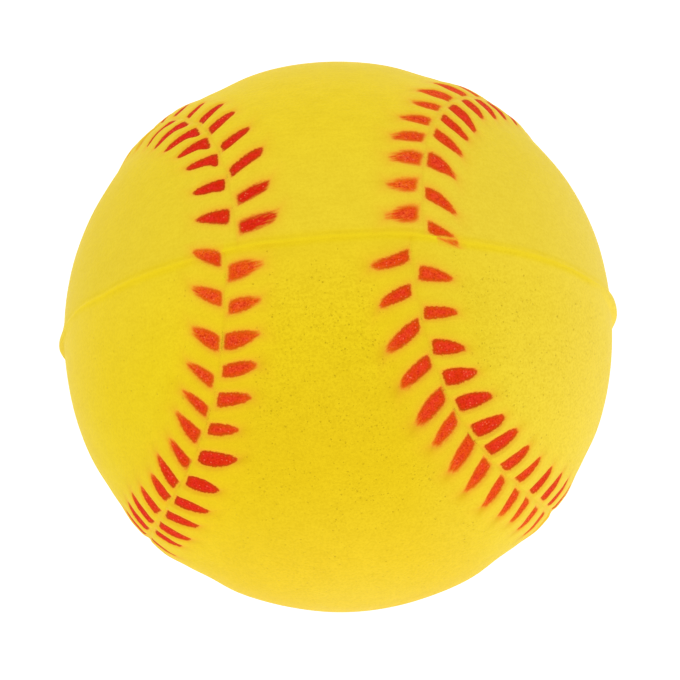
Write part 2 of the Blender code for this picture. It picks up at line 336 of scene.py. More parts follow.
def swell(p, seed, size, count=9):
    """Smooth unevenness with features about size mm across, roughly -1 to 1."""
    rng = np.random.default_rng(seed)
    k = rng.normal(size=(count, 3))
    k *= (2 * math.pi * R / size) / np.linalg.norm(k, axis=1)[:, None]
    return np.sin(p @ k.T + rng.uniform(0, 6.28, count)).sum(1) / math.sqrt(count)


def surface(p):
    """Relief of the ball at unit points p, in mm over R, and the finish's numbers."""
    n = len(p)
    lat = R * np.arcsin(np.clip(p[:, 1], -1, 1))
    phi = np.arctan2(p[:, 0], p[:, 2])
    line = parting_line(phi)
    above = lat - line
    lip = lat - lip_line(phi)

    su, tu = np.zeros(n), np.full(n, 99.0)
    sl, tl = np.full(n, 300.0), np.full(n, 99.0)
    up, low = above > -2.6, above < 3.0
    su[up], tu[up] = seam_place(p[up])
    sl[low], tl[low] = seam_place(p[low] @ LOWER_TURN)
    su = np.where(su > 0.75 * SEAM_LENGTH, su - SEAM_LENGTH, su)
    sl = np.where(sl < 0.25 * SEAM_LENGTH, sl + SEAM_LENGTH, sl)

    def welt(t, height, spine, inside, outside):
        """Raised seam with a hollow middle line, and a dip along each foot."""
        a = np.abs(t)
        return (height * (1 - smooth(2.6, 6.3, a)) - spine * np.exp(-(a / 0.55) ** 2)
                - np.where(t < 0, inside * np.exp(-((a - 9.5) / 2.9) ** 2), outside * np.exp(-((a - 8.8) / 2.3) ** 2)))

    is_up = above > 0
    k = smooth(-0.3, 0.3, above)
    h = welt(tl, 0.39, 0.22, 0.31, 0.12) * (1 - k) + welt(tu, 0.52, 0.16, 0.23, 0.05) * k
    # slightly flatter or fuller spots towards the sides
    for spot, reach, drop in (((0.9923, -0.1218, 0.0195), 0.30, 0.28), ((-0.9968, 0.0133, 0.0788), 0.25, 0.12),
                              ((0.7390, -0.6520, -0.1690), 0.33, 0.12), ((0.8990, 0.3880, 0.2030), 0.28, -0.10)):
        away = np.arccos(np.clip(p @ np.array(spot), -1, 1))
        h = h - drop * np.exp(-(away / reach) ** 2)
    raised = (1 - smooth(2.6, 6.0, np.abs(tl))) * (1 - k) + (1 - smooth(2.6, 6.0, np.abs(tu))) * k

    edge = np.full(n, 3.0)
    thin = np.full(n, 0.5)
    soft = np.full(n, 0.2)
    deep = np.ones(n)
    out = np.zeros(n)
    across = np.zeros(n)
    tip_hollow_shade = np.zeros(n)
    for (half, side), row in ROWS.items():
        s, t = (su, tu) if half > 0 else (sl, tl)
        use = (t * side > -0.05) & (np.abs(t) < 7.5) & (is_up if half > 0 else ~is_up)
        if use.any():
            a = np.abs(t[use])
            d, j, along, across[use], past = stitch_field(row, s[use], a)
            across[use] += 7.3 * j
            stop = (0.06 - above[use]) if half > 0 else (above[use] + 0.04)
            if (half, side) == (-1, 1):       # its last dent crosses the parting line
                stop = np.where(j == len(row["s"]) - 1, -9.0, stop)
            edge[use] = np.maximum(d, stop)
            end = row["fade"][j] * smooth(0.55, 1.0, along)
            thin[use] = np.clip(row["thin"][j] + 0.5 * end, 0, 1)
            soft[use] = np.clip(row["soft"][j] + 0.35 * end, 0, 1)
            deep[use] = row["deep"][j]
            out[use] = a
            tip_hollow_shade[use] = past
    # the lower half's last dent, above the line
    row = ROWS[-1, 1]
    use = is_up & (above < 2.8) & (tl > 0) & (tl < 6.0) & (sl > 417.5) & (sl < 427)
    if use.any():
        d, j, _, aside, _ = stitch_field(row, sl[use], tl[use])
        nearer = (j == len(row["s"]) - 1) & (d < edge[use])
        edge[use] = np.where(nearer, d, edge[use])
        thin[use] = np.where(nearer, 0.55 + 0.45 * smooth(0.0, 0.9, above[use]), thin[use])
        soft[use] = np.where(nearer, 0.25, soft[use])
        out[use] = np.where(nearer, tl[use], out[use])
        across[use] = np.where(nearer, aside + 7.3 * j, across[use])
    # the upper half's last dent leaves a sliver below the line
    row = ROWS[1, 1]
    use = ~is_up & (above > -1.3) & (tu > 1.6) & (tu < 6.0) & (su > 206)
    if use.any():
        d, j, _, aside, _ = stitch_field(row, su[use], tu[use])
        d = np.maximum(np.maximum(d - 0.10, above[use] + 0.20), -0.95 - above[use])
        nearer = d < edge[use]
        edge[use] = np.where(nearer, d, edge[use])
        thin[use] = np.where(nearer, 1.0, thin[use])
        soft[use] = np.where(nearer, 0.5, soft[use])
        out[use] = np.where(nearer, tu[use], out[use])
        across[use] = np.where(nearer, aside + 7.3 * j, across[use])

    # the dents are shallow troughs, painted on their floors, with rounded ribs between them
    wall = 1 - smooth(-0.08, 0.52, edge)
    bowl = 1 - smooth(-1.0, -0.10, edge)
    depth = (0.31 * wall + 0.05 * bowl) * deep * (0.45 + 0.55 * raised)
    h = h - depth - 0.05 * tip_hollow_shade

    # bead at the parting line
    def rounded(v, over, under):
        return 0.5 + 0.5 * np.cos(math.pi * np.minimum(np.where(v > 0, v / over, -v / under), 1))

    turn = np.degrees(np.abs(phi))
    right = 0.74 * smooth(69.0, 85.0, turn) * smooth(103.0, 88.0, turn) * rounded(lat + 0.25, 2.28, 1.12)
    left = 0.74 * smooth(71.0, 92.0, turn) * smooth(104.0, 87.0, turn) * rounded(lat - 0.74, 2.44, 0.45)
    h = h + 0.05 * rounded(lip + 0.45, 0.60, 1.30) + np.where(phi > 0, right, left)
    h = h + 0.055 * np.exp(-((lip + 0.35) / 0.24) ** 2) - 0.012 * np.exp(-((lip - 0.20) / 0.22) ** 2)

    h = h + 0.035 * swell(p, 3, 19.0) + 0.012 * swell(p, 4, 6.5)
    x = R * p[:, 0]
    pores = (smooth(0.5, -8.0, lat) * (1 - 0.40 * smooth(-16.0, -30.0, lat)) * smooth(3.5, 7.5, np.abs(tl))
             * (0.18 + 0.82 * smooth(-23.0, -7.0, x)) * (1 - 0.38 * smooth(12.0, 16.0, x)))
    # a pale wash over the yellow, painted sheen standing for the reflection of the white surroundings, more of it on
    # the upper half and towards the right side
    upper = smooth(0.0, 0.45, lip)
    painted_sheen_up = (0.19 - 0.075 * smooth(7.0, 21.0, lat) + 0.07 * smooth(22.0, 34.0, lat)
                + 0.05 * smooth(-18.0, -30.0, x) + 0.14 * smooth(-30.0, -36.0, x) + 0.14 * smooth(4.0, 22.0, x) + 0.28 * smooth(24.0, 35.5, x))
    painted_sheen_low = (0.02 + 0.085 * smooth(-14.0, 0.0, lat) + 0.03 * smooth(-20.0, -28.0, x) + 0.18 * smooth(-29.0, -35.5, x)
                 + 0.10 * smooth(6.0, 15.0, x) + 0.08 * smooth(14.0, 25.0, x) + 0.24 * smooth(25.0, 35.0, x)
                 + 0.14 * smooth(-3.0, -16.0, lat) * smooth(14.0, 28.0, x)
                 + 0.10 * smooth(-28.0, -46.0, lat) + 0.12 * smooth(-44.0, -54.0, lat))
    paler = smooth(-0.4, 1.3, lip)
    painted_sheen = np.minimum(painted_sheen_up * paler + painted_sheen_low * (1 - paler), 0.60)
    painted_sheen = painted_sheen * (1 - 0.75 * smooth(0.97, 0.88, np.abs(np.sin(phi))) * np.exp(-((lip + 0.80) / 0.40) ** 2)) * (1 - 0.35 * np.exp(-((lip - 0.10) / 0.30) ** 2))
    # greener yellow but for the middle of the lower half
    lemon = np.minimum(0.22 * smooth(-46.0, -34.0, lat) + 0.60 * smooth(-27.0, -9.0, lat) + 0.18 * smooth(-3.0, 2.0, lip)
                       + 0.55 * smooth(-15.0, -33.0, x) + 0.90 * smooth(10.0, 28.0, x), 1.0)
    # broad lighter and darker zones, painted light and shade: lighter in the upper middle, under the parting line and
    # towards the lower right, darker towards the upper left and in the lower middle
    tone = (1 + 0.020 * upper * smooth(12.0, 6.0, lat) * smooth(16.0, 10.0, np.abs(x)) + 0.032 * smooth(0.0, -2.5, lat) * smooth(-19.0, -9.0, lat) * smooth(-30.0, -18.0, x) * smooth(9.0, 4.0, x)
            + 0.036 * smooth(6.0, 14.0, lat) * smooth(34.0, 27.0, lat) * smooth(18.0, 10.0, np.abs(x))
            - 0.045 * smooth(-16.0, -31.0, x) * upper - 0.008 * smooth(13.0, 22.0, x) * upper
            + 0.028 * smooth(14.0, 24.0, x) * (1 - upper) * smooth(-32.0, -22.0, lat)
            - 0.015 * smooth(-17.0, -24.0, lat) * smooth(-46.0, -36.0, lat) * smooth(18.0, 10.0, np.abs(x)))
    # the seam's middle groove, where the yellow is darkened: painted shade
    spine = np.where(is_up, np.exp(-(tu / 0.17) ** 2), np.exp(-(tl / 0.17) ** 2))
    # where the parting line's painted shade and highlight are used: not at the sides
    crease = smooth(0.98, 0.90, np.abs(np.sin(phi)))
    return h, {"paint_edge": np.clip(edge, -2, 3), "paint_thin": thin, "paint_soft": soft,
               "paint_out": out, "paint_across": across, "hollow": depth, "pores": pores, "parting": np.clip(lip, -6, 6),
               "tip_hollow_shade": tip_hollow_shade, "painted_sheen": painted_sheen, "lemon": lemon, "tone": tone, "spine": spine,
               "crease": crease}


def surface_with_normals(p):
    """surface(p), with the outward normals of the relief at the same points."""
    got = surface(p)
    ref = np.where(np.abs(p[:, 1:2]) < 0.9, np.array([[0.0, 1, 0]]), np.array([[1.0, 0, 0]]))
    e1 = np.cross(ref, p)
    e1 /= np.linalg.norm(e1, axis=1)[:, None]
    e2 = np.cross(p, e1)
    base = p * (R + got[0])[:, None]
    eps = 0.05 / R
    edges = []
    for e in (e1, e2):
        q = p + e * eps
        q /= np.linalg.norm(q, axis=1)[:, None]
        edges.append(q * (R + surface(q)[0])[:, None] - base)
    normal = np.cross(edges[0], edges[1])
    normal /= np.linalg.norm(normal, axis=1)[:, None]
    return got, base, normal


# ---------------------------------------------------------------------------------
def half_grid(n, side, rim):
    """Triangles over one half of the unit ball, from a cube's grid, down to latitude rim."""
    m = n // 2
    quads = []
    for i in range(-m, m):
        for j in range(-m, m):
            quads.append(((i, m, j), (i, m, j + 1), (i + 1, m, j + 1), (i + 1, m, j)))
    for i in range(-m, m):
        for j in range(0, m):
            for sign in (-1, 1):
                a = [(i, j), (i + 1, j), (i + 1, j + 1), (i, j + 1)]
                quads.append([(u, w, sign * m) for u, w in a])
                quads.append([(sign * m, w, u) for u, w in a])
    quads = np.array(quads).reshape(-1, 3)
    points, index = np.unique(quads, axis=0, return_inverse=True)
    index = index.reshape(-1, 4)
    p = np.tan(points / m * (math.pi / 4))
    p /= np.linalg.norm(p, axis=1)[:, None]
    lat = np.arcsin(np.clip(p[:, 1], -1, 1))
    lat = rim + lat * (1 - rim / (math.pi / 2))
    flat = np.hypot(p[:, 0], p[:, 2])
    scale = np.where(flat > 1e-9, np.cos(lat) / np.maximum(flat, 1e-9), 0)
    p = np.stack([p[:, 0] * scale, side * np.sin(lat), p[:, 2] * scale], 1)
    flip = (points.sum(1)[index[:, 0]] % 2 == 0)
    a = np.where(flip[:, None], index[:, [0, 1, 2]], index[:, [1, 2, 3]])
    b = np.where(flip[:, None], index[:, [0, 2, 3]], index[:, [1, 3, 0]])
    return p, face_out(p, np.concatenate([a, b]))


def face_out(p, tri):
    """The triangles turned to face away from the origin."""
    a, b, c = p[tri[:, 0]], p[tri[:, 1]], p[tri[:, 2]]
    inward = np.sum(np.cross(b - a, c - a) * (a + b + c), 1) < 0
    tri = tri.copy()
    tri[inward] = tri[inward][:, ::-1]
    return tri


def refine(p, tri, mark):
    """Marked triangles cut in four, and their neighbours cut to fit."""
    n = len(p)
    ends = np.sort(np.stack([tri, np.roll(tri, -1, 1)], 2), 2)       # edge i: corner i to i + 1
    keys, edge = np.unique(ends[..., 0] * n + ends[..., 1], return_inverse=True)
    edge = edge.reshape(-1, 3)
    cut = np.zeros(len(keys), bool)
    cut[edge[mark]] = True
    while True:
        two = cut[edge].sum(1) == 2
        if not two.any():
            break
        cut[edge[two]] = True
    number = np.full(len(keys), -1)
    number[cut] = n + np.arange(cut.sum())
    mid = p[keys[cut] // n] + p[keys[cut] % n]
    mid /= np.linalg.norm(mid, axis=1)[:, None]
    e = number[edge]
    count = (e >= 0).sum(1)
    done = [tri[count == 0]]
    one = np.where(count == 1)[0]
    k = np.argmax(e[one] >= 0, axis=1)
    r = np.arange(len(one))
    t, m = tri[one], e[one][r, k]
    a, b, c = t[r, k], t[r, (k + 1) % 3], t[r, (k + 2) % 3]
    done += [np.stack([a, m, c], 1), np.stack([m, b, c], 1)]
    t, m = tri[count == 3], e[count == 3]
    done += [np.stack([t[:, 0], m[:, 0], m[:, 2]], 1), np.stack([m[:, 0], t[:, 1], m[:, 1]], 1),
             np.stack([m[:, 2], m[:, 1], t[:, 2]], 1), np.stack([m[:, 0], m[:, 1], m[:, 2]], 1)]
    return np.concatenate([p, mid]), np.concatenate(done)


def seam_distance(p, side):
    return np.abs(seam_place(p if side > 0 else p @ LOWER_TURN)[1])


def ring_between(outer, outer_angle, inner, inner_angle):
    """Triangles joining two rings of points, each given with its angles."""
    oo, ii = np.argsort(outer_angle), np.argsort(inner_angle)
    o = np.concatenate([outer[oo], outer[oo][:1]])
    i = np.concatenate([inner[ii], inner[ii][:1]])
    oa = np.concatenate([outer_angle[oo], [outer_angle[oo][0] + 2 * math.pi]])
    ia = np.concatenate([inner_angle[ii], [inner_angle[ii][0] + 2 * math.pi]])
    a = b = 0
    tri = []
    while a < len(o) - 1 or b < len(i) - 1:
        if b == len(i) - 1 or (a < len(o) - 1 and oa[a + 1] <= ia[b + 1]):
            tri.append((o[a], o[a + 1], i[b]))
            a += 1
        else:
            tri.append((o[a], i[b + 1], i[b]))
            b += 1
    return np.array(tri)


def mesh_object(name, co, tri, corner_normals, corner_uv, finish):
    """An object from points in mm, triangles, corner normals, a map and point finishes."""
    mesh = bpy.data.meshes.new(name)
    mesh.vertices.add(len(co))
    mesh.vertices.foreach_set("co", (co * MM).astype(np.float32).ravel())
    mesh.loops.add(tri.size)
    mesh.loops.foreach_set("vertex_index", tri.astype(np.int32).ravel())
    mesh.polygons.add(len(tri))
    mesh.polygons.foreach_set("loop_start", np.arange(0, tri.size, 3, dtype=np.int32))
    mesh.polygons.foreach_set("use_smooth", np.ones(len(tri), bool))
    mesh.update(calc_edges=True)
    mesh.validate()
    for key, values in finish.items():
        mesh.attributes.new(key, 'FLOAT', 'POINT').data.foreach_set("value", values.astype(np.float32))
    layer = mesh.uv_layers.new(name="OFBake")
    layer.uv.foreach_set("vector", corner_uv.reshape(-1).astype(np.float32))
    mesh.normals_split_custom_set(corner_normals.reshape(-1, 3).tolist())
    obj = bpy.data.objects.new(name, mesh)
    bpy.context.scene.collection.objects.link(obj)
    return obj


def face_normals(co, tri):
    n = np.cross(co[tri[:, 1]] - co[tri[:, 0]], co[tri[:, 2]] - co[tri[:, 0]])
    return n / np.maximum(np.linalg.norm(n, axis=1), 1e-12)[:, None]


PLAIN = {"paint_edge": 3.0, "paint_thin": 0.5, "paint_soft": 0.2, "paint_out": 0.0, "paint_across": 0.0,
         "hollow": 0.0, "pores": 0.0,
         "parting": 6.0, "tip_hollow_shade": 0.0, "painted_sheen": 0.2, "lemon": 0.5, "tone": 1.0, "spine": 0.0, "crease": 0.0}


def finishes(got, extra):
    """Finish numbers of the outer points, followed by plain ones for the hidden points."""
    return {k: np.concatenate([v, np.full(extra, PLAIN[k])]) for k, v in got[1].items()}


def skin_shell(name, side):
    rim = math.asin(RIM / R)
    p, tri = half_grid(GRID, side, rim)
    for reach in (6.9, 6.0):
        near = seam_distance(p, side) < reach
        p, tri = refine(p, tri, near[tri].any(1))
    ends = np.sort(np.concatenate([tri[:, [0, 1]], tri[:, [1, 2]], tri[:, [2, 0]]]), 1)
    keys, times = np.unique(ends[:, 0] * len(p) + ends[:, 1], return_counts=True)
    edge = np.unique(np.concatenate([keys[times == 1] // len(p), keys[times == 1] % len(p)]))
    flat = np.hypot(p[edge, 0], p[edge, 2])
    p[edge, 0] *= math.cos(rim) / flat
    p[edge, 2] *= math.cos(rim) / flat
    p[edge, 1] = side * math.sin(rim)
    tri = face_out(p, tri)
    got, co, normal = surface_with_normals(p)

    q, inner = half_grid(INNER_GRID, side, rim)
    inner = face_out(q, inner)[:, ::-1] + len(p)
    ring = np.where(np.abs(q[:, 1] - side * math.sin(rim)) < 1e-6)[0]
    strip = ring_between(edge, np.arctan2(p[edge, 0], p[edge, 2]) % (2 * math.pi),
                         ring + len(p), np.arctan2(q[ring, 0], q[ring, 2]) % (2 * math.pi))
    every = np.concatenate([co, q * (R - WALL)])
    if np.sum(face_normals(every, strip)[:, 1]) * side > 0:
        strip = strip[:, ::-1]
    faces = np.concatenate([tri, strip, inner])

    normals = np.repeat(face_normals(every, faces)[:, None, :], 3, axis=1)
    normals[:len(tri)] = normal[tri]
    unit = np.concatenate([p, q])

    def disc(points, centre, inside, outside):
        """Equal-area map of a half ball onto a disc."""
        c = np.arccos(np.clip(side * points[:, 1], -1, 1))
        rho = np.sin(c / 2) / math.sin((math.pi / 2 - rim) / 2)
        rho = inside + (outside - inside) * rho
        a = np.arctan2(points[:, 0], points[:, 2]) * side
        return np.stack([centre[0] + rho * np.cos(a), centre[1] + rho * np.sin(a)], 1)

    uv = np.empty((len(faces), 3, 2))
    a, b = len(tri), len(tri) + len(strip)
    uv[:a] = disc(p, (0.5, 0.5), 0.0, 0.49)[tri]
    uv[b:] = disc(unit, (0.085, 0.085), 0.0, 0.075)[faces[b:]]
    angle = np.arctan2(unit[:, 0], unit[:, 2])
    radius = np.where(np.arange(len(unit)) < len(p), 0.075, 0.058)
    rimmed = np.stack([0.915 + radius * np.cos(angle), 0.915 + radius * np.sin(angle)], 1)
    uv[a:b] = rimmed[faces[a:b]]
    return mesh_object(name, every, faces, normals, uv, finishes(got, len(q)))


def bead_band(name):
    """The band between the two skins, with its parting line and bead."""
    columns, strips = 1152, 9
    step = np.concatenate([np.linspace(-RIM, -0.62, 9)[:-1], np.linspace(-0.62, 0.50, 17)[:-1],
                           np.linspace(0.50, RIM, 11)])
    phi = np.arange(columns) * (2 * math.pi / columns)
    line = lip_line(phi)
    lat = line[None, :] + step[:, None] * (1 - np.sign(step)[:, None] * line[None, :] / RIM)
    lat[0], lat[-1] = -RIM, RIM
    rows = len(step)
    angle = np.broadcast_to(phi, lat.shape)
    # the rims lie on the same latitude as the skins' rims
    y = np.sin(lat / R)
    y[0], y[-1] = -RIM / R, RIM / R
    c = np.sqrt(1 - y * y)
    p = np.stack([c * np.sin(angle), y, c * np.cos(angle)], 2).reshape(-1, 3)
    got, co, normal = surface_with_normals(p)
    i, j = np.meshgrid(np.arange(rows - 1), np.arange(columns), indexing="ij")
    i, j = i.ravel(), j.ravel()
    nxt = (j + 1) % columns

    def grid(a, b, c, d):
        flip = ((i + j) % 2 == 0)[:, None]
        return np.concatenate([np.where(flip, np.stack([a, b, c], 1), np.stack([a, b, d], 1)),
                               np.where(flip, np.stack([a, c, d], 1), np.stack([b, c, d], 1))])

    tri = grid(i * columns + j, i * columns + nxt, (i + 1) * columns + nxt, (i + 1) * columns + j)
    tri = face_out(p, tri)
    base = len(p)
    low = np.stack([p[:columns], p[-columns:]]).reshape(-1, 3) * (R - WALL)
    every = np.concatenate([co, low])
    k = np.arange(columns)
    kn = (k + 1) % columns
    top0 = (rows - 1) * columns

    def wall(a, b, c, d, towards):
        f = np.concatenate([np.stack([a, b, c], 1), np.stack([a, c, d], 1)])
        n = face_normals(every, f)
        return f[:, ::-1] if np.sum(n * towards(every[f].mean(1))) < 0 else f

    inner = wall(base + k, base + kn, base + columns + kn, base + columns + k,
                 lambda m: -m * np.array([1, 0, 1]))
    under = wall(k, kn, base + kn, base + k, lambda m: np.array([[0, -1.0, 0]]))
    over = wall(top0 + k, top0 + kn, base + columns + kn, base + columns + k,
                lambda m: np.array([[0, 1.0, 0]]))
    faces = np.concatenate([tri, inner, under, over])
    normals = np.repeat(face_normals(every, faces)[:, None, :], 3, axis=1)
    normals[:len(tri)] = normal[tri]

    # map: the band cut into strips that lie one above the other
    per = columns // strips
    column = np.concatenate([np.tile(k, rows), k, k])[faces]
    first = column.min(1)
    wraps = (column.max(1) - first) > columns // 2
    first = np.where(wraps, columns - 1, first)
    strip = first // per
    along = np.where((column < strip[:, None] * per) | (wraps[:, None] & (column < columns // 2)),
                     column + columns, column) - strip[:, None] * per
    height = np.concatenate([lat.ravel() / (2 * RIM) + 0.5, np.full(2 * columns, 0.0)])[faces]
    n = len(tri)
    # walls take a thin lane of their own under the band
    lane = np.concatenate([np.zeros(n), np.repeat([0.0, 0.04, 0.08], 2 * columns)])
    inner_side = np.concatenate([np.zeros(len(p)), np.ones(columns), np.ones(columns)])[faces]
    upper_low = np.concatenate([np.zeros(len(p) + columns), np.ones(columns)])[faces]
    lane_h = np.where(np.arange(len(faces))[:, None] < n + 2 * columns, upper_low, inner_side) * 0.03
    v = np.where((np.arange(len(faces)) < n)[:, None], 0.16 + 0.80 * height, lane[:, None] + 0.02 + lane_h)
    uv = np.stack([0.01 + 0.97 * along / per, (strip[:, None] + v) / strips], 2)
    return mesh_object(name, every, faces, normals, uv, finishes(got, len(low)))


# ---------------------------------------------------------------------------------
class Shader:
    """A node tree built by calls."""

    def __init__(self, name):
        self.mat = bpy.data.materials.new(name)
        self.mat.use_nodes = True
        self.tree = self.mat.node_tree
        self.bsdf = self.tree.nodes["Principled BSDF"]

    def put(self, socket, value):
        if isinstance(value, bpy.types.NodeSocket):
            self.tree.links.new(value, socket)
        else:
            socket.default_value = value

    def node(self, kind, inputs=(), **props):
        n = self.tree.nodes.new(kind)
        for k, v in props.items():
            setattr(n, k, v)
        for k, v in dict(inputs).items():
            self.put(n.inputs[k], v)
        return n

    def math(self, op, a, b=0.0, c=0.0, clamp=False):
        return self.node("ShaderNodeMath", {0: a, 1: b, 2: c}, operation=op, use_clamp=clamp).outputs[0]

    def mix(self, f, a, b, blend='MIX'):
        n = self.node("ShaderNodeMix", data_type='RGBA', blend_type=blend)
        self.put(n.inputs[0], f)
        self.put(n.inputs[6], a)
        self.put(n.inputs[7], b)
        return n.outputs[2]

    def ramp(self, x, a, b, c=0.0, d=1.0):
        """x from a to b, smoothly mapped to c to d."""
        return self.node("ShaderNodeMapRange", {0: x, 1: a, 2: b, 3: c, 4: d},
                         interpolation_type='SMOOTHSTEP').outputs[0]

    def attr(self, name):
        return self.node("ShaderNodeAttribute", attribute_name=name).outputs["Fac"]

    def place(self, stretch=(1, 1, 1), turn=(0, 0, 0)):
        """Object coordinates in mm, turned and stretched."""
        at = self.node("ShaderNodeTexCoord").outputs["Object"]
        if any(turn):
            at = self.node("ShaderNodeMapping", {0: at, 2: turn}).outputs[0]
        return self.node("ShaderNodeMapping", {0: at, 3: tuple(1000 * k for k in stretch)}).outputs[0]

    def noise(self, at, scale, detail=2.0, rough=0.5, warp=0.0):
        return self.node("ShaderNodeTexNoise", {"Vector": at, "Scale": scale, "Detail": detail,
                                                "Roughness": rough, "Distortion": warp}).outputs["Fac"]

    def cells(self, at, scale, out="Distance", feature='F1'):
        return self.node("ShaderNodeTexVoronoi", {"Vector": at, "Scale": scale}, feature=feature).outputs[out]

    def bump(self, height, strength=1.0, normal=None):
        n = self.node("ShaderNodeBump", {"Height": height, "Strength": strength, "Distance": MM})
        if normal is not None:
            self.put(n.inputs["Normal"], normal)
        return n.outputs[0]


def rgb(r, g, b):
    return (r, g, b, 1.0)


